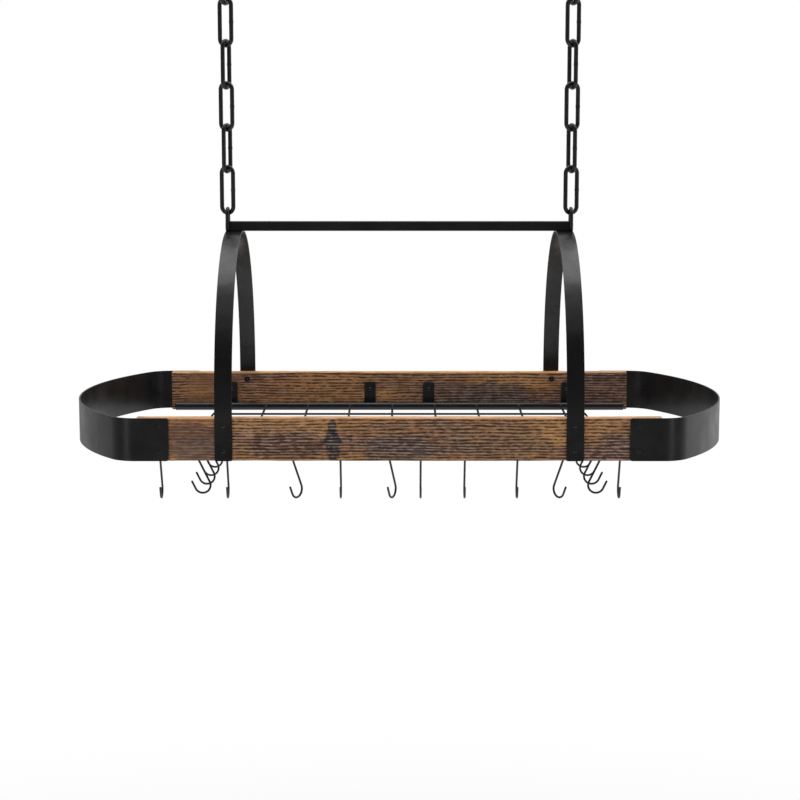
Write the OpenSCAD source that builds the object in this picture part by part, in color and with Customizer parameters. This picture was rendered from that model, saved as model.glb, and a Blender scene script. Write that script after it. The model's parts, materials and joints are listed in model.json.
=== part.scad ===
// Hanging oval pot rack: two boards joined by bent steel bands, carried by two
// strap arches, a crossbar and two chains, with a wire shelf and loose S-hooks.
// Origin: on the ceiling, midway between the two screw hooks. +X runs along the
// boards to the right, +Y to the back and +Z up, so the rack hangs below zero.

/* [Boards and bands] */
// Length of each wooden board
board_l = 652; // [560:1:760]
// Height of the boards and of the end bands
board_h = 54; // [46:1:70]
// Thickness of the boards
board_t = 15; // [12:0.5:20]
// Width of the rack over the steel
rack_w = 430; // [380:1:480]
// Straight length of a band between its board and its bend
band_straight = 2; // [0.5:0.5:20]
// Radius of the bend where a band leaves its board
bend_r = 38; // [20:1:50]
// Thickness of the bands and the arches
steel_t = 2; // [1.5:0.1:3]
// How far each band laps over the end of a board
band_lap = 40; // [30:1:60]
// Radius of the corners on the band ends
band_corner_r = 3; // [1:0.5:6]

/* [Arches and crossbar] */
// Distance from a board end to the middle of its arch
arch_in = 108; // [80:1:130]
// Width of the arch strap
strap_w = 22; // [18:0.5:26]
// Straight length of the arch legs above the boards
arch_straight = 1.6; // [0.2:0.2:40]
// Side of the square crossbar
bar_s = 12.5; // [10:0.5:16]
// Wall of the crossbar
bar_wall = 1.5; // [1:0.1:2.5]
// Radius along the edges of the crossbar
bar_edge_r = 1; // [0.5:0.1:1.4]
// Thickness of the outer face of a crossbar plug
plug_face = 1.2; // [0.8:0.1:2]
// Depth of a crossbar plug inside the tube
plug_depth = 5; // [3:0.5:6]
// Thickness of the wire that the chain eyes are bent from
eye_d = 5; // [4:0.5:6]
// How far the legs of an eye stop above the underside of the crossbar
eye_leg_up = 1.2; // [0.5:0.1:3]
// Width of the weld bead between an eye and the crossbar
weld_w = 4; // [3:0.2:4.4]
// Height of an eye above the crossbar, to the middle of its wire
eye_rise = 16.6; // [15:0.1:22]

/* [Chains] */
// Thickness of the link wire
link_d = 5.6; // [5:0.1:6]
// Outer width of a link
link_w = 22.6; // [20:0.2:26]
// Length of the opening in a link
link_inner = 54.8; // [44:0.2:66]
// Turn of the chains away from the front
chain_yaw = 25; // [0:1:35]
// Clearance between wires that hang in each other
link_gap = 0.3; // [0.2:0.05:0.6]

/* [Ceiling hooks] */
// Thickness of the ceiling hook wire
hook_d = 6; // [5:0.5:7]
// Radius of the ring of a ceiling hook, to the middle of its wire
ring_r = 12; // [11:0.5:16]
// Radius of the bend between ring and stem
neck_r = 8; // [6:0.5:10]
// Straight stem between the neck bend and the ceiling
stem_l = 13.85; // [10:0.05:30]
// Clearance between a ceiling hook and the top link
ring_gap = 0.45; // [0.4:0.05:0.8]
// Angle from the level at which the open end of the ring stops
ring_stop = 150; // [135:1:160]
// Diameter of the collar under the ceiling
collar_d = 18; // [14:0.5:24]
// Thickness of the collar
collar_t = 3; // [2:0.5:4]
// Diameter of the screw shank above the ceiling
shank_d = 5.5; // [4.5:0.1:6]
// Straight length of the screw shank
shank_l = 32; // [24:1:50]
// Length of the screw point
point_l = 8; // [5:0.5:12]
// Diameter of the blunt end of the screw point
point_tip_d = 0.6; // [0.4:0.1:1.5]

/* [Shelf frame and wires] */
// Diameter of the rails that the S-hooks hang on
rail_d = 11; // [8:0.5:12]
// Height of the rail middles above the board bottoms
rail_z = 7; // [6:0.5:12]
// Room between a rail middle and its board, for a hook to pass
hook_room = 14; // [13.5:0.5:20]
// Distance from a board end to the middle of its cross rail
cross_rail_in = 76; // [60:1:88]
// How far the long rails stop short of the board ends
rail_short = 6; // [2:0.5:12]
// Diameter of the shelf wires
wire_d = 3; // [2.5:0.1:4]
// Number of wires along the rack
long_wires = 5; // [4:1:7]
// Number of wires across the rack
cross_wires = 8; // [6:1:10]
// Distance from the last wire across the rack to the right cross rail
last_wire_gap = 20; // [15:1:40]
// Distance from a board end to the middle of its outer rail tab
tab_outer_in = 86; // [80:1:100]
// Distance of the inner rail tabs from the middle
tab_inner_x = 42; // [38:1:52]
// Width of a rail tab
tab_w = 16; // [12:0.5:18]
// Thickness of a rail tab
tab_t = 2.5; // [2:0.1:3]
// Inner radius of the bend in a rail tab
tab_bend_r = 2; // [1:0.5:3]
// Radius of the upper corners of a rail tab
tab_corner_r = 3; // [1:0.5:5]
// Height of a rail tab
tab_h = 34; // [28:1:40]
// Height of a tab screw above the board bottoms
tab_screw_z = 29; // [24:1:32]

/* [S-hooks] */
// Thickness of the S-hook wire
s_wire = 2.7; // [2.2:0.1:3]
// Radius of both bends of an S-hook, to the middle of its wire
s_r = 10; // [9.5:0.1:11]
// Height of an S-hook
s_h = 68.5; // [60:0.5:90]
// Straight length at each end of an S-hook, parallel to its shank
s_tip = 10; // [6:0.5:12]
// Clearance between an S-hook and its rail
s_gap = 0.3; // [0.2:0.05:0.5]
// Distance from the left cross rail to the S-hook outside it
left_hook_out = 49; // [16:0.5:60]
// Distance from the right cross rail to the S-hook outside it
right_hook_out = 26; // [16:0.5:60]
// Angle that the swivelled S-hooks on the front rail turn
swivel_yaw = 36; // [0:1:37]
// Angle that the least swivelled S-hook turns
small_swivel_yaw = 25; // [0:1:37]
// Distance of the first S-hook on a cross rail from the front rail
cross_hook_start = 29; // [24:1:40]
// Distance between the S-hooks on a cross rail
cross_hook_step = 60; // [50:1:62]

/* [Fasteners] */
// Distance of the band screws from the board ends
band_screw_in = 29; // [20:0.5:32]
// Height of the lower screws above the board bottoms
screw_low = 13; // [10:0.5:18]
// Distance of the upper screws below the board tops
screw_down = 9.5; // [6:0.5:16]
// Diameter of the domed screw heads
head_d = 6.6; // [6:0.1:8]
// Height of the domed screw heads
head_h = 2; // [1.5:0.1:3]
// Diameter of the wood screw shanks
screw_d = 3.5; // [3:0.1:4]
// Length of a wood screw in the wood
screw_bite = 11.5; // [8:0.5:11.5]
// Diameter of the bolts in the arches
bolt_d = 4; // [3.5:0.1:4.5]
// Distance across the flats of the nuts
nut_flats = 7; // [6.5:0.5:8]
// Height of the nuts
nut_h = 3.2; // [2.5:0.1:4]
// How far a bolt shows past its nut
bolt_show = 1; // [0.5:0.5:3]
// Clearance around a bolt in a hole
bolt_gap = 0.15; // [0.1:0.05:0.3]

/* [Hidden] */
$fn = 64;

STEEL = "#1c1c1e";
WIRE = "#161617";
ZINC = "#2a2a2c";
WOOD = "#7a4b26";
PLASTIC = "#101011";

// Heights count from the underside of the boards; lowered() hangs them in place.
outer_y = rack_w / 2;
board_face_y = outer_y - steel_t;
board_back_y = board_face_y - board_t;
screw_high = board_h - screw_down;
arch_spring = board_h + arch_straight;
bar_z = arch_spring + sqrt(pow(outer_y, 2) - pow(bar_s / 2, 2));
bar_top = bar_z + bar_s;
arch_x = board_l / 2 - arch_in;
bar_l = 2 * (arch_x + strap_w / 2);
bar_bore = bar_s - 2 * bar_wall;
bar_tube_l = bar_l - 2 * plug_face;

chain_x = bar_l / 2 - eye_d / 2;
eye_top = bar_top + eye_rise;
eye_r = (bar_s + eye_d) / 2;
link_r = (link_w - link_d) / 2;
link_cc = link_inner + link_d;
link_side = link_cc - 2 * link_r;
link_pitch = link_inner - link_gap;
links_in_chain = 5;
lowest_link_z = eye_top - eye_d / 2 - link_gap - link_d / 2;
top_link_z = lowest_link_z + (links_in_chain - 1) * link_pitch + link_cc;
ring_z = top_link_z - link_d / 2 - ring_gap - hook_d / 2 + ring_r;
neck_up = sqrt(pow(ring_r + neck_r, 2) - pow(neck_r, 2));
neck_angle = atan2(neck_up, neck_r);
ceiling_z = ring_z + neck_up + stem_l;

rail_y = board_back_y - hook_room;
rail_l = board_l - 2 * rail_short;
rail_chamfer = 1;
cross_rail_x = board_l / 2 - cross_rail_in;
tab_outer_x = board_l / 2 - tab_outer_in;
long_wire_step = 2 * rail_y / (long_wires + 1);
cross_pitch = (2 * cross_rail_x - last_wire_gap) / cross_wires;

// The nose of a band is one arc, tangent to the bends at both of its ends. Its end
// radii slope 3 in 4, so the middles of nose and bends form 3-4-5 triangles.
bend_x = board_l / 2 + band_straight;
bend_y = outer_y - bend_r;
nose_x = bend_x - bend_y * 4 / 3;
nose_r = bend_r + bend_y * 5 / 3;
lap_l = band_lap + band_straight;

// An S-hook is two half circles, one above the other, joined by a slanting shank.
s_half = (s_h - s_wire) / 2 - s_r;
s_shank_angle = asin(s_r / s_half);
s_shank_l = 2 * sqrt(pow(s_half, 2) - pow(s_r, 2));
s_drop = s_r - s_wire / 2 - s_gap - rail_d / 2 + s_half;
// Turn and place of each front hook; inner places count wire steps from the left rail.
function step_x(steps) = steps * cross_pitch - cross_rail_x;
front_hooks = [
    [0, -cross_rail_x - left_hook_out], [0, step_x(0.575)], [-swivel_yaw, step_x(2.02)],
    [0, step_x(2.94)], [-small_swivel_yaw, step_x(4.02)], [0, step_x(4.612)],
    [0, step_x(5.533)], [0, step_x(6.63)], [swivel_yaw, step_x(7.508)],
    [0, cross_rail_x + right_hook_out]
];

// Shared shapes

module lowered() {
    translate([0, 0, -ceiling_z]) children();
}

// Arc of round wire standing in the XZ plane, counted up from the +X side.
module wire_arc(radius, wire, from, sweep) {
    rotate([90, 0, 0]) rotate([0, 0, from]) rotate_extrude(angle = sweep)
        translate([radius, 0]) circle(d = wire);
}

// Profile of a flat strip that stands up with its outer face at a radius.
module strip_profile(radius, high) {
    translate([radius - steel_t, 0]) square([steel_t, high]);
}

module rounded_rect(w, h, r) {
    translate([r, 0]) square([w - 2 * r, h]);
    translate([0, r]) square([w, h - 2 * r]);
    for (x = [r, w - r], z = [r, h - r])
        translate([x, z]) circle(r = r);
}

module dome(d, h) {
    ball_r = (d * d / 4 + h * h) / (2 * h);
    intersection() {
        translate([0, 0, h - ball_r]) sphere(r = ball_r);
        cylinder(d = d, h = h);
    }
}

// Children stand on a face across the rack; side -1 looks to the front, 1 to the rear.
module stand(x, y, z, side) {
    translate([x, y, z]) rotate([-side * 90, 0, 0]) children();
}

module each_end_screw() {
    for (side = [-1, 1], end = [-1, 1], z = [screw_low, screw_high])
        stand(end * (board_l / 2 - band_screw_in), side * board_face_y, z, side) children();
}

module each_foot(z) {
    for (side = [-1, 1], end = [-1, 1])
        stand(end * arch_x, side * board_face_y, z, side) children();
}

module each_tab_screw() {
    for (side = [-1, 1], x = [-tab_outer_x, -tab_inner_x, tab_inner_x, tab_outer_x])
        stand(x, side * board_back_y, tab_screw_z, -side) children();
}

// Wood screw with a domed head on a plate and a plain shank below it.
module wood_screw(plate) {
    translate([0, 0, plate]) dome(head_d, head_h);
    translate([0, 0, -screw_bite]) cylinder(d = screw_d, h = screw_bite + plate);
}

module pilot_hole() {
    translate([0, 0, -screw_bite]) cylinder(d = screw_d, h = 2 * screw_bite);
}

// Clearance hole centred on a face, deep enough for any plate or board here.
module through_hole(d) {
    cylinder(d = d + 2 * bolt_gap, h = 3 * board_t, center = true);
}

module nut() {
    difference() {
        cylinder(d = nut_flats / cos(30), h = nut_h, $fn = 6);
        translate([0, 0, -1]) cylinder(d = bolt_d, h = nut_h + 2);
    }
}

// Round bar along X, through the middle of the rail height.
module bar_along(length, y, z, d) {
    translate([-length / 2, y, z]) rotate([0, 90, 0]) cylinder(d = d, h = length);
}

module bar_across(x, length, z, d) {
    translate([x, length / 2, z]) rotate([90, 0, 0]) cylinder(d = d, h = length);
}

// Ceiling hooks

// Its stem stands on Z, its ring is open on the -X side before the yaw.
module ceiling_hook(x, yaw) {
    color(STEEL) translate([x, 0, 0]) rotate([0, 0, yaw]) {
        translate([0, 0, ring_z - ceiling_z]) {
            wire_arc(ring_r, hook_d, ring_stop - 360, 360 - ring_stop + neck_angle);
            rotate([0, -ring_stop, 0]) translate([ring_r, 0, 0]) sphere(d = hook_d);
            translate([neck_r, 0, neck_up]) wire_arc(neck_r, hook_d, 180, neck_angle);
        }
        translate([0, 0, -stem_l]) cylinder(d = hook_d, h = stem_l);
        translate([0, 0, -collar_t]) cylinder(d = collar_d, h = collar_t);
        cylinder(d = shank_d, h = shank_l);
        translate([0, 0, shank_l]) cylinder(d1 = shank_d, d2 = point_tip_d, h = point_l);
    }
}

// Chains

// Link n counts down from the ceiling; every second link is turned a quarter.
module chain_link(side, n) {
    quarter = n % 2 == 0 ? 90 : 0;
    color(STEEL) lowered()
        translate([side * chain_x, 0, lowest_link_z + (links_in_chain - n) * link_pitch])
            rotate([0, 0, side * (chain_yaw - quarter)]) {
                translate([0, 0, link_r]) wire_arc(link_r, link_d, 180, 180);
                translate([0, 0, link_r + link_side]) wire_arc(link_r, link_d, 0, 180);
                for (x = [-link_r, link_r])
                    translate([x, 0, link_r]) cylinder(d = link_d, h = link_side);
            }
}

// Wire bent over the crossbar, with a welded leg down each side of it.
module chain_eye(side) {
    leg_l = eye_top - eye_r - bar_z - eye_leg_up;
    bead_h = bar_s - 2 * eye_leg_up;
    color(STEEL) lowered() translate([side * chain_x, 0, bar_z + eye_leg_up]) {
        translate([0, 0, leg_l]) rotate([0, 0, 90]) wire_arc(eye_r, eye_d, 0, 180);
        for (y = [-eye_r, eye_r])
            translate([0, y, 0]) cylinder(d = eye_d, h = leg_l);
        for (y = [-eye_r, bar_s / 2])
            translate([-weld_w / 2, y, 0]) cube([weld_w, eye_d / 2, bead_h]);
    }
}

// Frame above the boards

module crossbar() {
    color(STEEL) lowered() difference() {
        translate([-bar_tube_l / 2, -bar_s / 2, bar_z]) rotate([90, 0, 90])
            linear_extrude(bar_tube_l) rounded_rect(bar_s, bar_s, bar_edge_r);
        translate([-bar_l / 2, -bar_bore / 2, bar_z + bar_wall])
            cube([bar_l, bar_bore, bar_bore]);
        each_bar_bolt() through_bar();
    }
}

module through_bar() {
    cylinder(d = bolt_d + 2 * bolt_gap, h = steel_t + 2 * bar_wall);
}

// Plastic plugs that close the ends of the crossbar.
module bar_plugs() {
    color(PLASTIC) lowered() for (side = [-1, 1])
        translate([side * bar_tube_l / 2, 0, bar_z + bar_s / 2]) rotate([90, 0, side * 90]) {
            linear_extrude(plug_face)
                translate([-bar_s / 2, -bar_s / 2]) rounded_rect(bar_s, bar_s, bar_edge_r);
            translate([-bar_bore / 2, -bar_bore / 2, -plug_depth])
                cube([bar_bore, bar_bore, plug_depth]);
        }
}

// The bolts come up through the arch straps; +Z starts at the seat of the head.
module each_bar_bolt() {
    seat_z = arch_spring + sqrt(pow(board_face_y, 2) - pow(head_d / 2, 2));
    for (side = [-1, 1])
        translate([side * arch_x, 0, seat_z]) children();
}

module bar_bolts() {
    grip = bar_z - arch_spring - board_face_y + bar_wall + nut_h + bolt_show;
    color(ZINC) lowered() each_bar_bolt() {
        rotate([180, 0, 0]) dome(head_d, head_h);
        cylinder(d = bolt_d, h = grip);
    }
}

module bar_nuts() {
    color(ZINC) lowered() for (side = [-1, 1])
        translate([side * arch_x, 0, bar_z + bar_wall]) nut();
}

// Strap bent to a half circle, its legs running down the faces of the boards.
module arch(side) {
    color(STEEL) lowered() difference() {
        translate([side * arch_x - strap_w / 2, 0, 0]) {
            translate([0, 0, arch_spring]) rotate([90, 0, 90])
                rotate_extrude(angle = 180, $fn = 180) strip_profile(outer_y, strap_w);
            for (y = [-outer_y, board_face_y])
                translate([0, y, 0]) cube([strap_w, steel_t, arch_spring]);
        }
        translate([-bar_l, -bar_s, bar_z]) cube([2 * bar_l, 2 * bar_s, bar_s]);
        each_bar_bolt() through_bar();
        each_foot(screw_low) through_hole(screw_d);
        each_foot(screw_high) through_hole(bolt_d);
    }
}

// Ground that an end band goes round, seen from above: its outline, or at an inset of
// the strip's thickness the inside of the strip.
module band_plan(inset) {
    reach = 2 * nose_r;
    intersection() {
        translate([nose_x, 0]) circle(r = nose_r - inset, $fn = 180);
        translate([nose_x, 0]) polygon([[0, 0], [0.8, 0.6] * reach, [0.8, -0.6] * reach]);
    }
    for (y = [-bend_y, bend_y])
        translate([bend_x, y]) circle(r = bend_r - inset, $fn = 180);
    translate([bend_x - lap_l - inset, inset - outer_y])
        square([lap_l + inset, rack_w - 2 * inset]);
}

module band_side_view() {
    square_from = bend_x - lap_l + band_corner_r;
    for (z = [band_corner_r, board_h - band_corner_r])
        translate([square_from, z]) circle(r = band_corner_r);
    translate([bend_x - lap_l, band_corner_r]) square([board_l, board_h - 2 * band_corner_r]);
    translate([square_from, 0]) square([board_l, board_h]);
}

module end_band(turn) {
    color(STEEL) lowered() difference() {
        rotate([0, 0, turn]) intersection() {
            linear_extrude(board_h) difference() {
                band_plan(0);
                band_plan(steel_t);
            }
            translate([0, rack_w / 2, 0]) rotate([90, 0, 0]) linear_extrude(rack_w)
                band_side_view();
        }
        each_end_screw() through_hole(screw_d);
    }
}

module board(side) {
    near_y = side < 0 ? -board_face_y : board_back_y;
    color(WOOD) lowered() difference() {
        translate([-board_l / 2, near_y, 0]) cube([board_l, board_t, board_h]);
        each_end_screw() pilot_hole();
        each_tab_screw() pilot_hole();
        each_foot(screw_low) pilot_hole();
        each_foot(screw_high) through_hole(bolt_d);
    }
}

// Shelf frame and wires

module long_rail(side) {
    color(STEEL) lowered() {
        bar_along(rail_l - 2 * rail_chamfer, side * rail_y, rail_z, rail_d);
        for (end = [-1, 1])
            translate([end * (rail_l / 2 - rail_chamfer), side * rail_y, rail_z])
                rotate([0, end * 90, 0])
                    cylinder(d1 = rail_d, d2 = rail_d - 2 * rail_chamfer, h = rail_chamfer);
    }
}

module long_rail_space() {
    for (side = [-1, 1])
        bar_along(rail_l, side * rail_y, rail_z, rail_d);
}

module cross_rail(side) {
    color(STEEL) lowered() difference() {
        bar_across(side * cross_rail_x, 2 * rail_y, rail_z, rail_d);
        long_rail_space();
    }
}

module long_wires() {
    color(WIRE) lowered() difference() {
        for (i = [1:long_wires])
            bar_along(2 * cross_rail_x, i * long_wire_step - rail_y, rail_z - wire_d / 2, wire_d);
        for (side = [-1, 1])
            bar_across(side * cross_rail_x, 2 * rail_y, rail_z, rail_d);
    }
}

module cross_wires() {
    color(WIRE) lowered() difference() {
        for (i = [1:cross_wires])
            bar_across(i * cross_pitch - cross_rail_x, 2 * rail_y, rail_z + wire_d / 2, wire_d);
        long_rail_space();
    }
}

// Bent tabs: an upright screwed to the board and a foot welded to the rail.
module rail_tabs() {
    foot_z = rail_z - tab_t / 2;
    bend_out = tab_bend_r + tab_t;
    color(STEEL) lowered() difference() {
        for (turn = [0, 180], x = [-tab_outer_x, -tab_inner_x, tab_inner_x, tab_outer_x])
            rotate([0, 0, turn]) translate([x - tab_w / 2, -board_back_y, foot_z]) {
                translate([0, tab_t, bend_out]) rotate([90, 0, 0]) linear_extrude(tab_t) {
                    rounded_rect(tab_w, tab_h - bend_out, tab_corner_r);
                    square([tab_w, tab_corner_r]);
                }
                rotate([90, 0, 90]) linear_extrude(tab_w) {
                    translate([bend_out, 0]) square([hook_room - bend_out, tab_t]);
                    translate([bend_out, bend_out]) difference() {
                        circle(r = bend_out);
                        circle(r = tab_bend_r);
                        translate([-bend_out, 0]) square(2 * bend_out);
                        translate([0, -bend_out]) square(2 * bend_out);
                    }
                }
            }
        long_rail_space();
        each_tab_screw() through_hole(screw_d);
    }
}

// Fasteners

module band_screws() {
    color(ZINC) lowered() each_end_screw() wood_screw(steel_t);
}

module foot_screws() {
    color(ZINC) lowered() each_foot(screw_low) wood_screw(steel_t);
}

module tab_screws() {
    color(ZINC) lowered() each_tab_screw() wood_screw(tab_t);
}

module foot_bolts() {
    grip = board_t + nut_h + bolt_show;
    color(ZINC) lowered() each_foot(screw_high) {
        translate([0, 0, steel_t]) dome(head_d, head_h);
        translate([0, 0, -grip]) cylinder(d = bolt_d, h = grip + steel_t);
    }
}

module foot_nuts() {
    color(ZINC) lowered() each_foot(screw_high)
        translate([0, 0, -board_t - nut_h]) nut();
}

// S-hooks

// Hangs over a rail whose middle is the origin; the lower bend opens to +X.
module s_hook() {
    color(WIRE) translate([0, 0, -s_drop]) rotate([0, s_shank_angle, 0]) {
        cylinder(d = s_wire, h = s_shank_l, center = true);
        for (half = [0, 180]) rotate([0, half, 0]) translate([-s_r, 0, s_shank_l / 2]) {
            wire_arc(s_r, s_wire, 0, 180);
            translate([-s_r, 0, -s_tip]) {
                cylinder(d = s_wire, h = s_tip);
                sphere(d = s_wire);
            }
        }
    }
}

module front_s_hook(n) {
    hook = front_hooks[n - 1];
    lowered() translate([hook[1], -rail_y, rail_z]) rotate([0, 0, hook[0] - 90]) s_hook();
}

module cross_s_hook(side, n) {
    y = cross_hook_start - rail_y + (n - 1) * cross_hook_step;
    lowered() translate([side * cross_rail_x, y, rail_z])
        rotate([0, 0, side < 0 ? 180 : 0]) s_hook();
}

ceiling_hook(-chain_x, 90 - chain_yaw);  // left_ceiling_hook
ceiling_hook(chain_x, chain_yaw - 90);  // right_ceiling_hook
chain_link(-1, 1);  // left_link_1
chain_link(-1, 2);  // left_link_2
chain_link(-1, 3);  // left_link_3
chain_link(-1, 4);  // left_link_4
chain_link(-1, 5);  // left_link_5
chain_link(1, 1);  // right_link_1
chain_link(1, 2);  // right_link_2
chain_link(1, 3);  // right_link_3
chain_link(1, 4);  // right_link_4
chain_link(1, 5);  // right_link_5
chain_eye(-1);  // left_chain_eye
chain_eye(1);  // right_chain_eye
crossbar();
bar_plugs();
bar_bolts();
bar_nuts();
arch(-1);  // left_arch
arch(1);  // right_arch
end_band(180);  // left_end_band
end_band(0);  // right_end_band
board(-1);  // front_board
board(1);  // rear_board
long_rail(-1);  // front_rail
long_rail(1);  // rear_rail
cross_rail(-1);  // left_cross_rail
cross_rail(1);  // right_cross_rail
long_wires();
cross_wires();
rail_tabs();
band_screws();
foot_screws();
foot_bolts();
foot_nuts();
tab_screws();
front_s_hook(1);  // front_s_hook_1
front_s_hook(2);  // front_s_hook_2
front_s_hook(3);  // front_s_hook_3
front_s_hook(4);  // front_s_hook_4
front_s_hook(5);  // front_s_hook_5
front_s_hook(6);  // front_s_hook_6
front_s_hook(7);  // front_s_hook_7
front_s_hook(8);  // front_s_hook_8
front_s_hook(9);  // front_s_hook_9
front_s_hook(10);  // front_s_hook_10
cross_s_hook(-1, 1);  // left_s_hook_1
cross_s_hook(-1, 2);  // left_s_hook_2
cross_s_hook(-1, 3);  // left_s_hook_3
cross_s_hook(-1, 4);  // left_s_hook_4
cross_s_hook(-1, 5);  // left_s_hook_5
cross_s_hook(1, 1);  // right_s_hook_1
cross_s_hook(1, 2);  // right_s_hook_2
cross_s_hook(1, 3);  // right_s_hook_3
cross_s_hook(1, 4);  // right_s_hook_4
cross_s_hook(1, 5);  // right_s_hook_5
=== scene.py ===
import itertools
import json
import math

import bmesh
import bpy
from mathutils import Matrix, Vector, noise


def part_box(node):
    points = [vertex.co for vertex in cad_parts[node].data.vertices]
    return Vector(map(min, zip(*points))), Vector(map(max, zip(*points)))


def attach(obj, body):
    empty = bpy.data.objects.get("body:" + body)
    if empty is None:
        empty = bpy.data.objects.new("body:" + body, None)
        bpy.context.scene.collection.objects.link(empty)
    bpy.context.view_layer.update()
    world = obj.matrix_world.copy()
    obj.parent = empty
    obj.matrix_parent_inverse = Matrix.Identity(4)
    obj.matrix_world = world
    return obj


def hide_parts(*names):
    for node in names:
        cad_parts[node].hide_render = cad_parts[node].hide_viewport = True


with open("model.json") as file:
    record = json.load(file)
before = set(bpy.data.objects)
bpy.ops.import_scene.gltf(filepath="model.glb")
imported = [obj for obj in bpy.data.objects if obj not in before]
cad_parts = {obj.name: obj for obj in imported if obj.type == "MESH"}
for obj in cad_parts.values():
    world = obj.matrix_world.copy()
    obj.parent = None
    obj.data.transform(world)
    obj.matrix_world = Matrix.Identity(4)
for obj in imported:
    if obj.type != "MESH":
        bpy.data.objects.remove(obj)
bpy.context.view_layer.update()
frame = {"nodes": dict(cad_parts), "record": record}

MM = 0.001
X, Y, Z = Vector((1, 0, 0)), Vector((0, 1, 0)), Vector((0, 0, 1))
NODES = frame["nodes"]
BODIES = frame["record"]["behaviour"]["bodies"]
BODY_OF = {node: body for body, nodes in BODIES.items() for node in nodes}
SIDES = {"left": -1, "right": 1}

# Sizes of the bent steel that the CAD boxes don't give
STEEL_T = 2 * MM
STRAP_EDGE_R = 0.45 * MM
BAND_RUN = 42 * MM
BEND_R = 38 * MM
BAND_CORNER_R = 3 * MM
ARCH_SPRING = 55.6 * MM
FOOT_CORNER_R = 2 * MM

# Chains and ceiling hooks
EYE_D = 5 * MM
EYE_LEG_UP = 1.2 * MM
BEAD_R = 2.7 * MM
BEAD_FLAT = 0.42
BEAD_OUT = 0.7 * MM
BEAD_RIPPLE = 1.5 * MM
LINK_D = 5.6 * MM
LINK_W = 22.6 * MM
LINK_WELD_RISE = 0.3 * MM
LINK_WELD_W = 1.7 * MM
CHAIN_YAW = math.radians(25)
CHAIN_X = sum(corner.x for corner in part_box("right_link_1")) / 2
HOOK_D = 6 * MM
RING_R = 12 * MM
NECK_R = 8 * MM
RING_OPEN_AT = math.radians(-210)
COLLAR_D = 18 * MM
COLLAR_T = 3 * MM
COLLAR_RIM = 0.5 * MM
SHANK_D = 5.5 * MM
SHANK_L = 32 * MM
POINT_L = 8 * MM
POINT_BLUNT = 0.6 * MM
THREAD_PITCH = 2.6 * MM
THREAD_CREST = 0.22
THREAD_RISE = 0.75 * MM
THREAD_FROM = 6 * MM
THREAD_FULL = 4 * MM

# Shelf
WIRE_D = 3 * MM
RAIL_D = 11 * MM
LONG_WIRES = 5
CROSS_WIRES = 8
WELD_SINK = 0.6 * MM
CROSS_RAIL_SHORT = 2 * MM

# Fasteners
HEAD_D = 6.6 * MM
HEAD_H = 2 * MM
HEAD_RINGS = 18
SCREW_D = 3.5 * MM
SCREW_BITE = 11.5 * MM
BOLT_D = 4 * MM
BOLT_END = 19.2 * MM
BAND_SCREW_IN = 29 * MM
SCREW_LOW = 13 * MM
SCREW_HIGH = 44.5 * MM
RECESS_FROM = 0.2 * MM
CROSS_ARM = 2.1 * MM
CROSS_HALF_W = 0.62 * MM
CROSS_DEPTH = 1.4 * MM
HEXAGON_R = 1.35 * MM
HEXAGON_SLOPE = 0.12 * MM
HEXAGON_DEPTH = 1.2 * MM

# Boards
BOARD_EDGE_R = 1.1 * MM
FACE_STEP = 0.7 * MM
TOP_STEP = 1.5 * MM
GROOVE_PITCH = 3.9 * MM
GROOVE_DEPTH = 0.22 * MM
CHIP_DEPTH = 1.3 * MM

BOARD_LOW, BOARD_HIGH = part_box("front_board")
BASE_Z = BOARD_LOW.z
RACK_LOW, RACK_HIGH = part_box("right_end_band")


# Shader graphs


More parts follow.
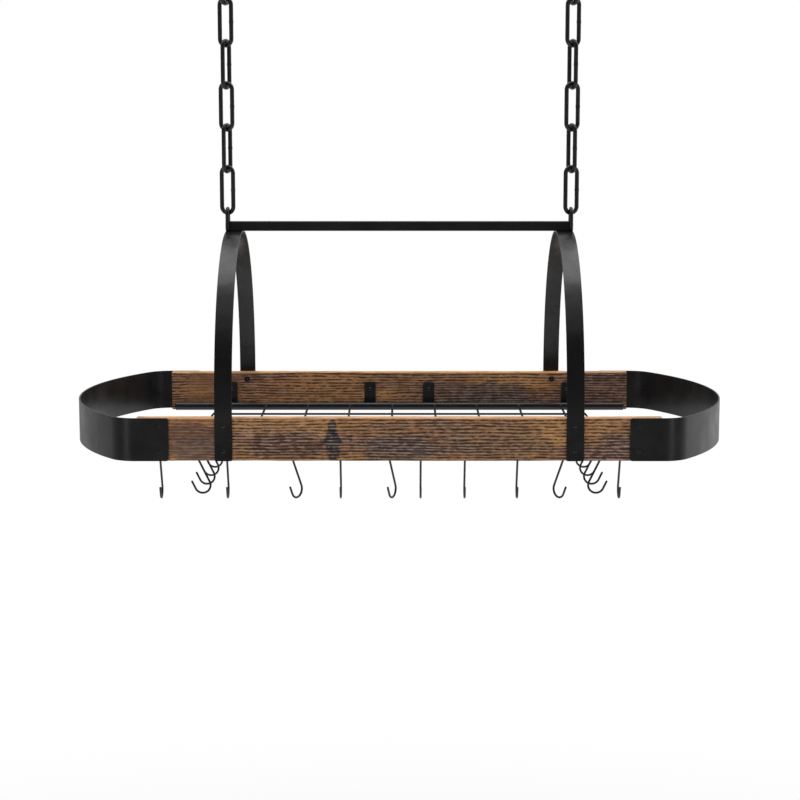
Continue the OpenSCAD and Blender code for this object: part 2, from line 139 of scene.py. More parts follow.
class Graph:
    """Adds shader nodes to one material or world, a line each."""

    def __init__(self, owner):
        owner.use_nodes = True
        self.tree = owner.node_tree

    def add(self, kind, inputs=None, **settings):
        made = self.tree.nodes.new(kind)
        for key, value in settings.items():
            setattr(made, key, value)
        for key, value in (inputs or {}).items():
            self.put(made.inputs[key], value)
        return made

    def put(self, socket, value):
        if isinstance(value, bpy.types.NodeSocket):
            self.tree.links.new(value, socket)
        elif value is not None:
            socket.default_value = value

    def place(self, scale=(1, 1, 1), turn=(0, 0, 0)):
        """The surface's own coordinates in metres, stretched by scale."""
        coords = self.add("ShaderNodeTexCoord").outputs["Object"]
        return self.add(
            "ShaderNodeMapping", {"Vector": coords, "Scale": scale, "Rotation": turn}
        ).outputs[0]

    def noise(self, at, scale=1.0, detail=2.0, rough=0.5, distort=0.0):
        settings = {"Scale": scale, "Detail": detail, "Roughness": rough, "Distortion": distort}
        return self.add("ShaderNodeTexNoise", {"Vector": at, **settings}).outputs[0]

    def ramp(self, value, *stops):
        """Stops are (place, colour or grey)."""
        made = self.add("ShaderNodeValToRGB", {"Fac": value})
        elements = made.color_ramp.elements
        while len(elements) < len(stops):
            elements.new(0.5)
        for element, (place, colour) in zip(elements, stops):
            element.position = place
            if isinstance(colour, (int, float)):
                colour = (colour,) * 3
            element.color = (*colour, 1)
        return made.outputs[0]

    def span(self, value, low, high, to_low=0.0, to_high=1.0):
        """Maps low to high onto to_low to to_high, smoothly and clamped."""
        return self.add(
            "ShaderNodeMapRange",
            {
                "Value": value,
                "From Min": low,
                "From Max": high,
                "To Min": to_low,
                "To Max": to_high,
            },
            interpolation_type="SMOOTHSTEP",
        ).outputs[0]

    def mix(self, share, a, b, blend="MIX"):
        made = self.add("ShaderNodeMix", data_type="RGBA", blend_type=blend)
        self.put(made.inputs[0], share)
        for socket, value in ((made.inputs[6], a), (made.inputs[7], b)):
            if isinstance(value, tuple) and len(value) == 3:
                value = (*value, 1)
            self.put(socket, value)
        return made.outputs[2]

    def math(self, operation, a, b):
        made = self.add("ShaderNodeMath", operation=operation)
        self.put(made.inputs[0], a)
        self.put(made.inputs[1], b)
        return made.outputs[0]

    def times(self, a, b):
        return self.math("MULTIPLY", a, b)

    def stored(self, name):
        """A value that the piece's mesh keeps at each corner."""
        return self.add("ShaderNodeAttribute", attribute_name=name).outputs["Fac"]

    def split(self, vector):
        return self.add("ShaderNodeSeparateXYZ", {"Vector": vector}).outputs

    def join(self, x, y, z):
        return self.add("ShaderNodeCombineXYZ", {"X": x, "Y": y, "Z": z}).outputs[0]

    def bump(self, height, distance, beneath=None):
        """Relief of distance metres, on top of the normal beneath it."""
        settings = {"Height": height, "Distance": distance, "Strength": 1.0, "Normal": beneath}
        return self.add("ShaderNodeBump", settings).outputs[0]


def surface(name):
    """A new material, its graph and its shader."""
    mat = bpy.data.materials.new(name)
    graph = Graph(mat)
    return mat, graph, graph.tree.nodes["Principled BSDF"]


def coated_steel(name, base, least_rough, peel, wave, turn):
    """Black coated steel: peel and wave are its relief in metres, turn makes each its own."""
    mat, g, shader = surface(name)
    at = g.place(turn=(turn, turn * 2, 0))
    patches = g.noise(at, 14, 3, 0.6)
    colour = g.mix(g.span(patches, 0.35, 0.7), base, tuple(c * 1.7 for c in base))
    # Specks of dust, and places that it dulls
    specks = g.span(g.noise(at, 700, 1), 0.68, 0.8)
    g.put(shader.inputs["Base Color"], g.mix(specks, colour, tuple(c * 3 for c in base)))
    dull = g.noise(at, 40, 4, 0.65)
    g.put(shader.inputs["Roughness"], g.span(dull, 0.3, 0.75, least_rough, least_rough + 0.12))
    fine = g.bump(g.noise(at, 750, 1, 0.4), peel)
    g.put(shader.inputs["Normal"], g.bump(g.noise(at, 30, 1), wave, fine))
    return mat


# Wood: colours, and ovals on the front board (middle, radii, strength, colour) as (x, z)
GOLD = (0.420, 0.215, 0.075)
RED_BROWN = (0.105, 0.050, 0.036)
BROWN = (0.130, 0.078, 0.050)
GREY = (0.085, 0.062, 0.058)
KNOT = (0.022, 0.026, 0.032)
BLEACHED_GREY = (0.420, 0.315, 0.265)
BLEACHED_GOLD = (0.430, 0.255, 0.130)
HOLLOW = (0.012, 0.009, 0.010)
# Bare-wood colour, also spread over the whole top face as a painted highlight
BARE_WOOD_AND_TOP_HIGHLIGHT = (0.780, 0.420, 0.190)
FRONT_STAINS = (
    ((-0.150, BASE_Z + 0.043), (0.075, 0.012), 0.55, GOLD),
    ((-0.104, BASE_Z + 0.033), (0.014, 0.008), 0.60, GOLD),
    ((0.185, BASE_Z + 0.032), (0.035, 0.014), 0.35, GOLD),
    ((-0.135, BASE_Z + 0.019), (0.046, 0.019), 0.80, RED_BROWN),
    ((-0.262, BASE_Z + 0.034), (0.042, 0.013), 0.60, RED_BROWN),
    ((-0.255, BASE_Z + 0.015), (0.038, 0.014), 0.75, GREY),
    ((0.125, BASE_Z + 0.024), (0.060, 0.026), 0.55, BROWN),
    ((0.055, BASE_Z + 0.030), (0.030, 0.020), 0.40, BROWN),
    ((0.000, BASE_Z + 0.012), (0.040, 0.022), 0.75, GREY),
    ((0.270, BASE_Z + 0.026), (0.022, 0.012), 0.50, GREY),
    ((-0.083, BASE_Z + 0.020), (0.010, 0.021), 0.88, KNOT),
    ((-0.083, BASE_Z + 0.043), (0.005, 0.009), 0.88, KNOT),
    ((-0.061, BASE_Z + 0.028), (0.003, 0.004), 0.88, KNOT),
)
REAR_STAINS = (((0.12, BASE_Z + 0.02), (0.07, 0.02), 0.75, GREY),)
SMOOTH_PLACE = ((-0.264, BASE_Z + 0.027), (0.038, 0.040))


def oval(g, x, z, middle, radii, ragged):
    """A soft-edged oval on the board's face, 1 inside it."""
    across = g.math("DIVIDE", g.math("SUBTRACT", x, middle[0]), radii[0])
    up = g.math("DIVIDE", g.math("SUBTRACT", z, middle[1]), radii[1])
    reach = g.math("ADD", g.times(across, across), g.times(up, up))
    return g.span(g.math("ADD", reach, ragged), 1.25, 0.75)


def rustic_wood(name, offset, stains, lively):
    """Brushed and stained softwood, its grain along X; offset makes each board its own."""
    mat, g, shader = surface(name)
    place_x, y, place_z = g.split(g.place())
    x = g.math("ADD", place_x, offset)
    drift = g.noise(g.join(x, y, place_z), 5, 2)
    z = g.math("ADD", place_z, g.times(drift, 6 * MM))

    def grain(along, up):
        """Coordinates for noise with so many features a metre along the grain and across."""
        return g.join(g.times(x, along), g.times(y, up * 0.4), g.times(z, up))

    # Stain, with places where the wood took more or less of it
    tone = g.noise(grain(5, 30), 1, 4, 0.52)
    colour = g.ramp(
        tone,
        (0.32, (0.100, 0.052, 0.036)),
        (0.44, (0.170, 0.080, 0.042)),
        (0.56, (0.270, 0.125, 0.052)),
        (0.70, (0.430, 0.215, 0.080)),
    )
    ragged = g.times(g.math("SUBTRACT", g.noise(grain(60, 160), 1, 3, 0.6), 0.5), 2.4)
    for middle, radii, strength, stain in stains:
        share = oval(g, place_x, place_z, middle, radii, ragged)
        colour = g.mix(g.times(share, strength), colour, stain)

    # Fibres
    fibre = g.noise(grain(120, 1300), 1, 2, 0.65)
    streaks = g.ramp(fibre, (0.32, 0.12), (0.68, 0.95))
    colour = g.mix(0.55 * lively, colour, streaks, "OVERLAY")

    # Brushed grooves: bleached crests and dark hollows, broken along the grain
    groove = g.stored("groove")
    broken = g.noise(grain(105, 260), 1, 3, 0.6)
    smooth = oval(g, place_x, place_z, *SMOOTH_PLACE, ragged)
    brushed = g.span(smooth, 0, 1, 1, 0.4)
    crest = g.times(g.span(groove, 0.36, 0.08), g.span(broken, 0.42, 0.56))
    bleach = g.mix(g.span(tone, 0.42, 0.60), BLEACHED_GREY, BLEACHED_GOLD)
    colour = g.mix(g.times(g.times(crest, brushed), 0.74 * lively), colour, bleach)
    hollow = g.times(g.span(groove, 0.40, 0.80), g.span(broken, 0.64, 0.44))
    colour = g.mix(g.times(g.times(hollow, brushed), 0.92), colour, HOLLOW)

    # Edges rubbed to bare wood, the whole top given the same bright colour as a painted highlight,
    # and end grain on the sawn ends
    patchy_wear_and_highlight = g.span(g.noise(grain(26, 1500), 1, 3, 0.6), 0.38, 0.62, 0.1, 1)
    # Painted highlight: the bright bare-wood colour covers the top face because light falls on it;
    # on the rounded edges it is partly wear and partly painted highlight
    colour = g.mix(g.times(g.stored("wear_and_top_highlight"), patchy_wear_and_highlight), colour, BARE_WOOD_AND_TOP_HIGHLIGHT)
    rings = g.noise(g.place(scale=(20, 330, 330)), 1, 2, 0.5, 0.6)
    end_grain = g.ramp(rings, (0.35, (0.060, 0.034, 0.022)), (0.6, (0.200, 0.115, 0.062)))
    colour = g.mix(g.stored("end"), colour, end_grain)

    g.put(shader.inputs["Base Color"], colour)
    shader.inputs["Specular IOR Level"].default_value = 0.3
    g.put(shader.inputs["Roughness"], g.span(fibre, 0.35, 0.7, 0.82, 0.62))
    g.put(shader.inputs["Normal"], g.bump(g.noise(grain(60, 1500), 1, 2), 0.5 * MM))
    return mat


STEEL = coated_steel("black_steel", (0.0038, 0.0038, 0.0041), 0.27, 0.03 * MM, 0.4 * MM, 0.3)
ARCH_STEEL = coated_steel("arch_steel", (0.0038, 0.0038, 0.0041), 0.24, 0.03 * MM, 1.2 * MM, 2.9)
CHAIN = coated_steel("chain_steel", (0.0030, 0.0030, 0.0033), 0.30, 0.03 * MM, 0.1 * MM, 1.1)
WIRE = coated_steel("wire_steel", (0.0040, 0.0040, 0.0043), 0.34, 0.03 * MM, 0.1 * MM, 2.3)
OXIDE = coated_steel("black_oxide", (0.0030, 0.0030, 0.0033), 0.17, 0.02 * MM, 0.05 * MM, 3.7)
PLASTIC = coated_steel("black_plastic", (0.010, 0.010, 0.010), 0.5, 0.04 * MM, 0.1 * MM, 4.9)
FRONT_WOOD = rustic_wood("front_wood", 0.0, FRONT_STAINS, 1.0)
REAR_WOOD = rustic_wood("rear_wood", 3.7, REAR_STAINS, 0.7)

# Materials by a word in the node's name
MATERIAL_OF = {
    "ceiling_hook": STEEL,
    "link": CHAIN,
    "chain_eye": CHAIN,
    "plugs": PLASTIC,
    "bolts": OXIDE,
    "nuts": OXIDE,
    "screws": OXIDE,
    "wires": WIRE,
    "s_hook": WIRE,
    "front_board": FRONT_WOOD,
    "rear_board": REAR_WOOD,
}


def finish_of(node):
    for word, mat in MATERIAL_OF.items():
        if word in node:
            return mat
    return STEEL


for node, piece in NODES.items():
    piece.data.materials.clear()
    piece.data.materials.append(finish_of(node))


# Mesh code


def clamped(value):
    return max(0, min(1, value))


def round_cut(radius, from_end):
    """How much a round corner takes off the side at this distance from the end."""
    short = max(radius - from_end, 0)
    return radius - math.sqrt(max(radius**2 - short**2, 0))


def moved(place, heading, length, turn):
    """Where a run of this length ends that turns left evenly by that much."""
    chord = length * (math.sin(turn / 2) / (turn / 2) if turn else 1)
    return place + chord * Vector((math.cos(heading + turn / 2), math.sin(heading + turn / 2)))


def walk(start, heading, moves):
    """Stations (distance, place, heading) along (length, turn, parts) moves in a plane."""
    place, gone, stations = Vector(start), 0.0, []
    for length, turn, parts in moves:
        for i in range(parts):
            here = moved(place, heading, length * i / parts, turn * i / parts)
            stations.append((gone + length * i / parts, here, heading + turn * i / parts))
        place = moved(place, heading, length, turn)
        heading += turn
        gone += length
    return stations + [(gone, place, heading)]


def skin(bm, rings, closed=False):
    """Faces between rings of points; both ends are capped unless it is closed."""
    rings = [[bm.verts.new(point) for point in ring] for ring in rings]
    for near, far in zip(rings, rings[1:] + rings[:1] * closed):
        for i in range(len(near)):
            bm.faces.new((near[i - 1], near[i], far[i], far[i - 1]))
    if not closed:
        bm.faces.new(rings[0])
        bm.faces.new(rings[-1])
    return rings


def sweep(bm, stations, plane, section, closed=False):
    """Skins section(distance), (left, out) offsets, along stations in a plane."""
    origin, along, up = plane
    out = along.cross(up)
    rings = []
    for gone, place, heading in stations:
        middle = origin + along * place.x + up * place.y
        left = up * math.cos(heading) - along * math.sin(heading)
        rings.append([middle + left * a + out * b for a, b in section(gone)])
    skin(bm, rings, closed)


def disc(radius, sides=24):
    """Points of a circle."""
    turns = [math.tau * i / sides for i in range(sides)]
    return [(radius * math.cos(turn), radius * math.sin(turn)) for turn in turns]


def rounded_rect(x0, x1, y0, y1, r, steps=4):
    """Points of a rectangle with round corners."""
    points = []
    middles = ((x1 - r, y1 - r), (x0 + r, y1 - r), (x0 + r, y0 + r), (x1 - r, y0 + r))
    for quarter, (x, y) in enumerate(middles):
        for i in range(steps + 1):
            turn = math.pi / 2 * (quarter + i / steps)
            points.append((x + r * math.cos(turn), y + r * math.sin(turn)))
    return points


def turned(bm, base, axis, profile, sides=32, shape=None):
    """A turned solid; profile is (radius, height) pairs, shape(x, y, height) a new height."""
    turn = axis.to_track_quat("Z", "Y")
    rings = []
    for radius, height in profile:
        ring = []
        for x, y in disc(radius, sides):
            ring.append(base + turn @ Vector((x, y, shape(x, y, height) if shape else height)))
        rings.append(ring)
    skin(bm, rings)


def add_piece(name, bm, mat, node, replaced=True, flats=False):
    """Makes the mesh a piece on the node's body; flats keep their shade up to round edges."""
    bmesh.ops.recalc_face_normals(bm, faces=bm.faces)
    mesh = bpy.data.meshes.new(name)
    bm.to_mesh(mesh)
    bm.free()
    mesh.materials.append(mat)
    mesh.polygons.foreach_set("use_smooth", [True] * len(mesh.polygons))
    piece = bpy.data.objects.new(name, mesh)
    bpy.context.scene.collection.objects.link(piece)
    if flats:
        piece.modifiers.new("flats", "WEIGHTED_NORMAL").mode = "FACE_AREA"
    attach(piece, BODY_OF[node])
    if replaced:
        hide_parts(node)
    return piece


# Bands and arches: flat bar with rolled edges, bent round; its ends have round corners


def corner_moves(corner, steps=6):
    """Short straight moves that reach in from an end, closest where its corner curves most."""
    reach = [corner * (1 - math.cos(math.pi / 2 * i / steps)) for i in range(steps + 1)]
    return [(b - a, 0, 1) for a, b in zip(reach, reach[1:])]


def bent_strap(name, node, mat, line, plane, width, corner):
    """Flat bar of this (low, high) width along a line of (start, heading, moves)."""
    start, heading, moves = line
    low, high = width
    ends = corner_moves(corner)
    first, last = moves[0], moves[-1]
    moves = ends + [(first[0] - corner, 0, first[2])] + moves[1:-1]
    moves += [(last[0] - corner, 0, last[2])] + ends[::-1]
    length = sum(move[0] for move in moves)

    def section(gone):
        cut = round_cut(corner, min(gone, length - gone))
        return rounded_rect(0, STEEL_T, low + cut, high - cut, STRAP_EDGE_R)

    bm = bmesh.new()
    sweep(bm, walk(start, heading, moves), plane, section)
    add_piece(name, bm, mat, node, flats=True)


def make_end_band(word, side):
    """Two laps, two bends and a wide nose that meet smoothly by a 3-4-5 triangle."""
    outer_y = RACK_HIGH.y
    bend_y = outer_y - BEND_R
    nose_r = BEND_R + bend_y * 5 / 3
    half_nose = math.atan2(3, 4)
    bend = math.pi / 2 - half_nose
    moves = [
        (BAND_RUN, 0, 8),
        (BEND_R * bend, bend, 20),
        (nose_r * 2 * half_nose, 2 * half_nose, 90),
        (BEND_R * bend, bend, 20),
        (BAND_RUN, 0, 8),
    ]
    line = ((RACK_LOW.x, -outer_y), 0, moves)
    plane = (Vector((0, 0, BASE_Z)), X * side, Y * side)
    width = (0, BOARD_HIGH.z - BASE_Z)
    name, node = word + "_band_strap", word + "_end_band"
    bent_strap(name, node, STEEL, line, plane, width, BAND_CORNER_R)


def make_arch(word):
    low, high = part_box(word + "_arch")
    middle_x = (low.x + high.x) / 2
    moves = [
        (ARCH_SPRING, 0, 8),
        (math.pi * high.y, math.pi, 120),
        (ARCH_SPRING, 0, 8),
    ]
    line = ((high.y, 0), math.pi / 2, moves)
    plane = (Vector((middle_x, 0, BASE_Z)), Y, Z)
    width = (low.x - middle_x, high.x - middle_x)
    name, node = word + "_arch_strap", word + "_arch"
    bent_strap(name, node, ARCH_STEEL, line, plane, width, FOOT_CORNER_R)


# Chains: each link is bent wire, closed by a butt weld in the middle of one side


def make_link(node, side):
    low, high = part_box(node)
    quarter = math.pi / 2 if node.endswith(("2", "4")) else 0
    yaw = side * (CHAIN_YAW - quarter)
    link_r = (LINK_W - LINK_D) / 2
    straight = high.z - low.z - LINK_W
    moves = [(straight, 0, 48), (math.pi * link_r, math.pi, 28)] * 2
    middle = (low + high) / 2

    def section(gone):
        from_weld = (gone - straight / 2) / LINK_WELD_W
        return disc(LINK_D / 2 + LINK_WELD_RISE * math.exp(-(from_weld**2)))

    bm = bmesh.new()
    stations = walk((link_r, low.z + LINK_W / 2), math.pi / 2, moves)[:-1]
    plane = (Vector((middle.x, middle.y, 0)), Vector((math.cos(yaw), math.sin(yaw), 0)), Z)
    sweep(bm, stations, plane, section, closed=True)
    add_piece(node + "_wire", bm, CHAIN, node)


def make_chain_eye(word):
    """Wire bent over the crossbar, with a weld bead down each leg."""
    node = word + "_chain_eye"
    low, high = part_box(node)
    bar_low, bar_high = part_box("crossbar")
    eye_r = (high.y - low.y - EYE_D) / 2
    middle_x = (low.x + high.x) / 2
    leg = high.z - EYE_D / 2 - eye_r - low.z
    bm = bmesh.new()
    moves = [(leg, 0, 12), (math.pi * eye_r, math.pi, 28), (leg, 0, 12)]
    plane = (Vector((middle_x, 0, low.z)), Y, Z)
    sweep(bm, walk((eye_r, 0), math.pi / 2, moves), plane, lambda gone: disc(EYE_D / 2))
    bead = bar_high.z - bar_low.z - 2 * EYE_LEG_UP

    def ripple(gone):
        swell = min(1, 3 * math.sin(math.pi * (0.02 + 0.96 * gone / bead)))
        swell *= 1 + 0.12 * math.cos(gone * math.tau / BEAD_RIPPLE)
        return [(x * BEAD_FLAT, y) for x, y in disc(BEAD_R * swell, 20)]

    for side in (-1, 1):
        start = (side * (bar_high.y + BEAD_OUT), 0)
        sweep(bm, walk(start, math.pi / 2, [(bead, 0, 36)]), plane, ripple)
    add_piece(node + "_wire", bm, CHAIN, node)


# Ceiling hooks: bent wire with a turned collar and a wood thread


def hook_stations(low_z):
    """The hook's ring and neck in its plane, from a rounded tip up to the collar."""
    neck_up = math.sqrt((RING_R + NECK_R) ** 2 - NECK_R**2)
    neck = math.atan2(neck_up, NECK_R)
    ring_z = low_z + HOOK_D / 2 + RING_R
    start = Vector((RING_R * math.cos(RING_OPEN_AT), ring_z + RING_R * math.sin(RING_OPEN_AT)))
    moves = [
        (RING_R * (neck - RING_OPEN_AT), neck - RING_OPEN_AT, 44),
        (NECK_R * neck, -neck, 12),
        (-ring_z - neck_up, 0, 4),
    ]
    stations = walk(start, RING_OPEN_AT + math.pi / 2, moves)
    _, tip, heading = stations[0]
    back = Vector((math.cos(heading), math.sin(heading)))
    rounding = [HOOK_D / 2 * math.sin(math.radians(turn)) for turn in (84, 60, 40, 20)]
    return [(-reach, tip - back * reach, heading) for reach in rounding] + stations


def thread_rings(axis, sides=28, rise=0.2 * MM):
    """Rings of a pointed wood screw; the thread starts above a plain neck."""
    rings = []
    length = SHANK_L + POINT_L
    levels = int(length / rise)
    for i in range(levels + 1):
        z = i * length / levels
        taper = min(1, (length - z + POINT_BLUNT) / POINT_L)
        cut = clamped((z - THREAD_FROM) / THREAD_FULL)
        ring = []
        for k in range(sides):
            phase = (z / THREAD_PITCH - k / sides) % 1
            crest = max(0, 1 - abs(phase - 0.5) / THREAD_CREST) * cut
            r = (SHANK_D / 2 + THREAD_RISE * (crest - cut)) * taper
            turn = math.tau * k / sides
            ring.append(axis + Vector((r * math.cos(turn), r * math.sin(turn), z)))
        rings.append(ring)
    return rings


def make_ceiling_hook(word, side):
    node = word + "_ceiling_hook"
    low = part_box(node)[0]
    yaw = side * (CHAIN_YAW - math.pi / 2)
    axis = Vector((side * CHAIN_X, 0, 0))
    wire_r = HOOK_D / 2

    def section(gone):
        return disc(math.sqrt(max(wire_r**2 - min(gone, 0) ** 2, 0)))

    bm = bmesh.new()
    plane = (axis, Vector((math.cos(yaw), math.sin(yaw), 0)), Z)
    sweep(bm, hook_stations(low.z), plane, section)
    collar = [
        (SHANK_D / 2, 0),
        (COLLAR_D / 2 - COLLAR_RIM, 0),
        (COLLAR_D / 2, -COLLAR_RIM),
        (COLLAR_D / 2, COLLAR_RIM - COLLAR_T),
        (COLLAR_D / 2 - COLLAR_RIM, -COLLAR_T),
        (wire_r, -COLLAR_T),
    ]
    turned(bm, axis, Z, collar, 48)
    skin(bm, thread_rings(axis))
    add_piece(node + "_form", bm, STEEL, node)


# Boards: grooves brushed along the grain, edges chipped and rubbed unevenly, a painted highlight
# on the top, end grain on the ends


def board_outline(low, high):
    """The end outline as (point, outward, corner); corner is 1 to 4 on a round edge, else 0."""
    face_parts = int((high.z - low.z - 2 * BOARD_EDGE_R) / FACE_STEP)
    top_parts = int((high.y - low.y - 2 * BOARD_EDGE_R) / TOP_STEP)
    middles = (
        Vector((0, high.y - BOARD_EDGE_R, high.z - BOARD_EDGE_R)),
        Vector((0, low.y + BOARD_EDGE_R, high.z - BOARD_EDGE_R)),
        Vector((0, low.y + BOARD_EDGE_R, low.z + BOARD_EDGE_R)),
        Vector((0, high.y - BOARD_EDGE_R, low.z + BOARD_EDGE_R)),
    )
    outline = []
    for quarter, middle in enumerate(middles):
        for i in range(5):
            turn = math.pi / 2 * (quarter + i / 4)
            outward = Vector((0, math.cos(turn), math.sin(turn)))
            outline.append((middle + BOARD_EDGE_R * outward, outward, quarter + 1))
        start = outline[-1][0]
        stop = middles[(quarter + 1) % 4] + BOARD_EDGE_R * outward
        parts = (top_parts, face_parts)[quarter % 2]
        outline += [(start.lerp(stop, i / parts), outward, 0) for i in range(1, parts)]
    return outline


def board_stops(length, step):
    """Distances along a board, close together at its rounded ends."""
    ends = [0, 0.15 * MM, 0.45 * MM, 0.9 * MM]
    inset = 1.5 * MM
    count = int((length - 2 * inset) / step)
    inner = [inset + (length - 2 * inset) * i / count for i in range(count + 1)]
    return ends + inner + [length - stop for stop in reversed(ends)]


def wear_and_top_highlight_share(outward, corner):
    """How much bright bare-wood colour: all of it on the top face as a painted highlight, some on
    the rounded edges as wear and partly painted highlight, a little on the bottom, least on the
    faces.
    """
    # The top face's full share is a painted highlight of the light falling from above
    if outward.z > 0.3:
        return 1.0
    if outward.z < -0.3:
        return 0.15
    return 0.3 if corner else 0.0


def groove_at(x, face, across, seed):
    """0 on a crest and 1 in a hollow; the grooves drift and waver along the board."""
    drift = noise.noise(Vector((x * 7 + seed, face * 5, across * 45)))
    waver = noise.noise(Vector((x * 40, seed - face * 3, across * 160)))
    phase = across / GROOVE_PITCH + 0.6 * drift + 0.28 * waver
    return 0.5 - 0.5 * math.cos(math.tau * phase)


def chip_at(x, corner, seed):
    """How deep this edge is chipped."""
    chip = noise.noise(Vector((x * 22, corner * 7.3, seed)))
    return CHIP_DEPTH * max(0, chip - 0.05)


def make_board(node, mat, seed, step):
    """A board with brushed grooves and chipped edges; the groove depth, the wear share with its
    painted top highlight, and the end mark go to its wood.
    """
    low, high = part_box(node)
    outline = board_outline(low, high)
    length = high.x - low.x
    rings, notes = [], []
    for gone in board_stops(length, step):
        x = low.x + gone
        from_end = min(gone, length - gone)
        rounding = round_cut(BOARD_EDGE_R, from_end)
        at_end = 1.0 if from_end < 0.1 * MM else 0.0
        ring = []
        for point, outward, corner in outline:
            across = point.z if abs(outward.y) > 0.5 else point.y
            groove = groove_at(x, outward.y, across, seed)
            depth = rounding + GROOVE_DEPTH * groove**2
            if corner:
                depth += chip_at(x, corner, seed)
            ring.append(Vector((x, point.y, point.z)) - outward * depth)
            notes.append((groove, wear_and_top_highlight_share(outward, corner), at_end))
        rings.append(ring)
    bm = bmesh.new()
    layers = [bm.verts.layers.float.new(name) for name in ("groove", "wear_and_top_highlight", "end")]
    verts = [vert for ring in skin(bm, rings) for vert in ring]
    for vert, note in zip(verts, notes):
        for layer, value in zip(layers, note):
            vert[layer] = value
    add_piece(node + "_timber", bm, mat, node, flats=True)


# Fasteners: domed heads with a cross recess in the wood screws and a hexagon in the bolts


def cross_recess(x, y, height):
    if height < RECESS_FROM:
        return height
    along = max(abs(x), abs(y)) / CROSS_ARM
    aside = min(abs(x), abs(y)) / CROSS_HALF_W
    inside = clamped(3 * (1 - along)) * clamped(2.5 * (1.3 - aside))
    return height - inside * CROSS_DEPTH


def hexagon_recess(x, y, height):
    if height < RECESS_FROM:
        return height
    turns = (0, math.pi / 3, 2 * math.pi / 3)
    reach = max(abs(x * math.cos(turn) + y * math.sin(turn)) for turn in turns)
    return height - clamped((HEXAGON_R - reach) / HEXAGON_SLOPE) * HEXAGON_DEPTH


def fastener(bm, seat, outward, shank_d, end, recess):
    """A domed fastener on a seat, its shank ending this deep."""
    ball_r = (HEAD_D**2 / 4 + HEAD_H**2) / (2 * HEAD_H)
    profile = []
    for i in range(1, HEAD_RINGS + 1):
        radius = HEAD_D / 2 * i / HEAD_RINGS
        drop = ball_r - math.sqrt(max(ball_r**2 - radius**2, 0))
        profile.append((radius, max(HEAD_H - drop, 0)))
    profile += [(HEAD_D / 2 - 0.1 * MM, -0.05 * MM), (shank_d / 2, 0)]
    profile += [(shank_d / 2, shank_d / 2 - end), (shank_d / 2 - 0.5 * MM, -end)]
    turned(bm, seat, outward, profile, 48, recess)


def make_fasteners():
    """Two screws in each lap of a band; a screw and a bolt in each foot of an arch."""
    arch_low, arch_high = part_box("right_arch")
    arch_x = (arch_low.x + arch_high.x) / 2
    lap_x = BOARD_HIGH.x - BAND_SCREW_IN
    screw = (SCREW_D, SCREW_BITE + STEEL_T, cross_recess)
    bolt = (BOLT_D, BOLT_END + STEEL_T, hexagon_recess)
    groups = (
        ("band_screw_heads", "band_screws", lap_x, (SCREW_LOW, SCREW_HIGH), screw),
        ("foot_screw_heads", "foot_screws", arch_x, (SCREW_LOW,), screw),
        ("foot_bolt_heads", "foot_bolts", arch_x, (SCREW_HIGH,), bolt),
    )
    for name, node, x, heights, (shank_d, end, recess) in groups:
        bm = bmesh.new()
        for face, side, up in itertools.product((-1, 1), (-1, 1), heights):
            seat = Vector((side * x, face * RACK_HIGH.y, BASE_Z + up))
            fastener(bm, seat, Y * face, shank_d, end, recess)
        add_piece(name, bm, OXIDE, node)


# Shelf: a small weld fillet where each wire or cross rail meets the rail it ends on


def fillet(bm, base, axis, radius):
    """A weld that tapers from a rail onto the round bar that ends there."""
    size = min(1, radius / (2 * MM)) * MM
    profile = [
        (radius - 0.2 * MM, 0),
        (radius + 1.1 * size, 0),
        (radius + 1.0 * size, 0.7 * size),
        (radius + 0.5 * size, 1.5 * size),
        (radius + 0.15 * size, 2.3 * size),
        (radius - 0.1 * MM, 2.8 * size),
    ]
    turned(bm, base, axis, profile, 20)


def make_shelf_welds():
    rail_low, rail_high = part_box("front_rail")
    rail_y = -(rail_low.y + RAIL_D / 2)
    rail_z = (rail_low.z + rail_high.z) / 2
    rail_x = -(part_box("left_cross_rail")[0].x + RAIL_D / 2)
    face_x = rail_x - RAIL_D / 2 + WELD_SINK
    face_y = rail_y - RAIL_D / 2 + WELD_SINK
    step_y = 2 * rail_y / (LONG_WIRES + 1)
    long_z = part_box("long_wires")[0].z + WIRE_D / 2
    low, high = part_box("cross_wires")
    step_x = (high.x - low.x - WIRE_D) / (CROSS_WIRES - 1)
    first_x = low.x + WIRE_D / 2
    cross_z = high.z - WIRE_D / 2
    bm = bmesh.new()
    for end in (-1, 1):
        for i in range(1, LONG_WIRES + 1):
            fillet(bm, Vector((end * face_x, i * step_y - rail_y, long_z)), X * -end, WIRE_D / 2)
        for i in range(CROSS_WIRES):
            fillet(bm, Vector((first_x + i * step_x, end * face_y, cross_z)), Y * -end, WIRE_D / 2)
        for side in (-1, 1):
            at = Vector((side * rail_x, end * (rail_y - CROSS_RAIL_SHORT), rail_z))
            fillet(bm, at, Y * -end, RAIL_D / 2)
    add_piece("shelf_welds", bm, WIRE, "long_wires", replaced=False)


for word, side in SIDES.items():
    make_end_band(word, side)
    make_arch(word)
    for number in range(1, 6):
        make_link(f"{word}_link_{number}", side)
    make_chain_eye(word)
    make_ceiling_hook(word, side)
make_board("front_board", FRONT_WOOD, 1.7, 3.5 * MM)
make_board("rear_board", REAR_WOOD, 8.3, 5 * MM)
make_fasteners()
make_shelf_welds()


# Studio: a white surround, a pale floor, one large lamp overhead and two at the front

SURROUND_LEVEL = 0.72
FLOOR_Z = -2.4
FLOOR_SIZE = 10
RACK_MIDDLE = (0, 0, -0.45)
CAMERA_PLACE = (0, -2.76, -0.14399)
CAMERA_TILT = math.radians(81.3)
LENS_MM = 93.855
LENS_SHIFT = 0.00083


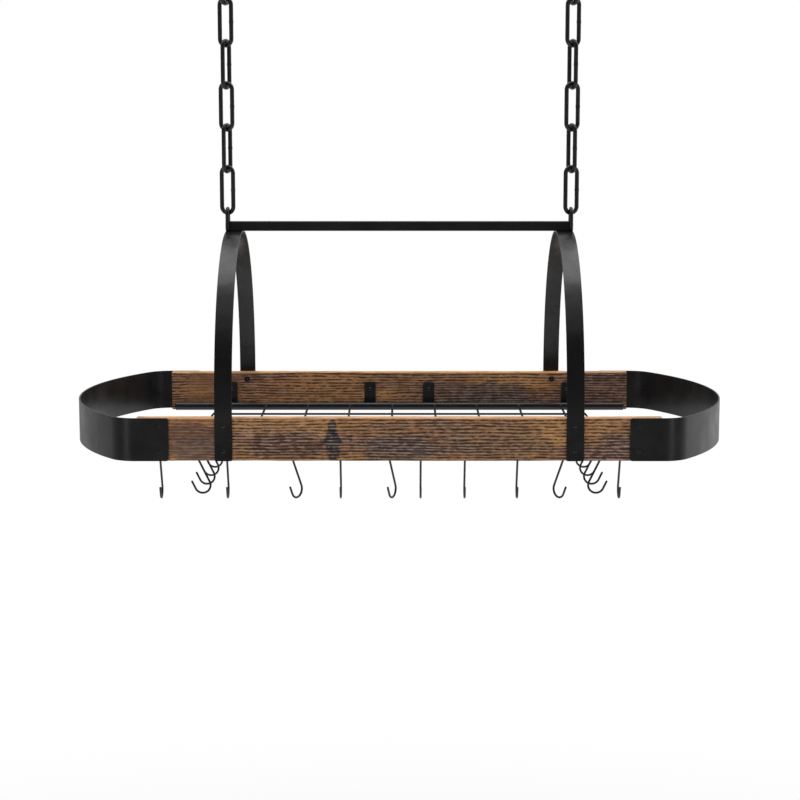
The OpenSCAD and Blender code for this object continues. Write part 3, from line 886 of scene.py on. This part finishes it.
def make_world():
    """White to the camera; by direction, what the steel mirrors; an even level for the rest."""
    world = bpy.data.worlds.new("studio")
    bpy.context.scene.world = world
    g = Graph(world)
    background = g.tree.nodes["Background"]
    ray = g.add("ShaderNodeLightPath").outputs
    direction = g.add("ShaderNodeTexCoord").outputs["Generated"]
    rightward, toward_rear, upward = g.split(direction)
    front = g.ramp(upward, (0.05, 0.13), (0.45, 0.03), (0.68, 0.06), (0.90, 0.50), (1, 0.65))
    rear = g.span(rightward, 0.1, 0.8, 0.5, 0.9)
    around = g.add("ShaderNodeMix", data_type="FLOAT")
    g.put(around.inputs[0], g.span(toward_rear, -0.6, 0.5))
    g.put(around.inputs[2], front)
    g.put(around.inputs[3], rear)
    seen = g.math("MAXIMUM", ray["Is Camera Ray"], ray["Is Transmission Ray"])
    mirrored = g.times(ray["Is Glossy Ray"], around.outputs[0])
    lit = g.times(g.math("SUBTRACT", 1.0, ray["Is Glossy Ray"]), SURROUND_LEVEL)
    level = g.math("MAXIMUM", seen, g.math("ADD", mirrored, lit))
    g.put(background.inputs["Strength"], level)
    background.inputs["Color"].default_value = (1, 1, 1, 1)


def add_lamp(name, size, place, aim, radiance):
    """Rectangular soft lamp; radiance 1 shows in a mirror as white."""
    data = bpy.data.lights.new(name, "AREA")
    data.shape = "RECTANGLE"
    data.size, data.size_y = size
    data.energy = radiance * math.pi * size[0] * size[1]
    lamp = bpy.data.objects.new(name, data)
    bpy.context.scene.collection.objects.link(lamp)
    lamp.location = place
    lamp.rotation_euler = (Vector(aim) - Vector(place)).to_track_quat("-Z", "Y").to_euler()
    lamp.visible_camera = False


def make_floor():
    """A pale floor that fades to white away from the rack's shadow."""
    mesh = bpy.data.meshes.new("floor")
    half = FLOOR_SIZE / 2
    corners = [(-half, -half, 0), (half, -half, 0), (half, half, 0), (-half, half, 0)]
    mesh.from_pydata(corners, [], [(0, 1, 2, 3)])
    floor = bpy.data.objects.new("floor", mesh)
    bpy.context.scene.collection.objects.link(floor)
    floor.location.z = FLOOR_Z
    mat, g, shader = surface("floor_paint")
    shader.inputs["Roughness"].default_value = 0.8
    shader.inputs["Base Color"].default_value = (0.85, 0.85, 0.85, 1)
    ray = g.add("ShaderNodeLightPath").outputs
    at = g.add("ShaderNodeTexCoord").outputs["Object"]
    reach = g.add("ShaderNodeVectorMath", {0: at}, operation="LENGTH").outputs["Value"]
    fade = g.span(reach, 1.5, 4.5, 0.55, 1.0)
    seen = g.math("MAXIMUM", ray["Is Camera Ray"], ray["Is Glossy Ray"])
    white = g.add("ShaderNodeEmission", {"Color": (1, 1, 1, 1), "Strength": 1.0})
    mixed = g.add("ShaderNodeMixShader", {0: g.times(seen, fade)})
    g.put(mixed.inputs[1], shader.outputs[0])
    g.put(mixed.inputs[2], white.outputs[0])
    g.put(g.tree.nodes["Material Output"].inputs["Surface"], mixed.outputs[0])
    mesh.materials.append(mat)


make_world()
add_lamp("overhead_lamp", (2.6, 1.3), (0, 0.5, 1.0), (0, 0.5, 0), 2.2)
for side in (-1, 1):
    add_lamp("front_lamp", (0.35, 1.5), (side * 1.5, -1.75, -0.2), RACK_MIDDLE, 2.0)
make_floor()


def make_camera():
    """The camera that was fitted to the photo."""
    data = bpy.data.cameras.new("camera")
    data.sensor_width = 36
    data.lens = LENS_MM
    data.shift_x = LENS_SHIFT
    camera = bpy.data.objects.new("camera", data)
    bpy.context.scene.collection.objects.link(camera)
    camera.location = CAMERA_PLACE
    camera.rotation_euler = (CAMERA_TILT, 0, 0)
    bpy.context.scene.camera = camera


make_camera()
bpy.context.scene.view_settings.view_transform = "Standard"
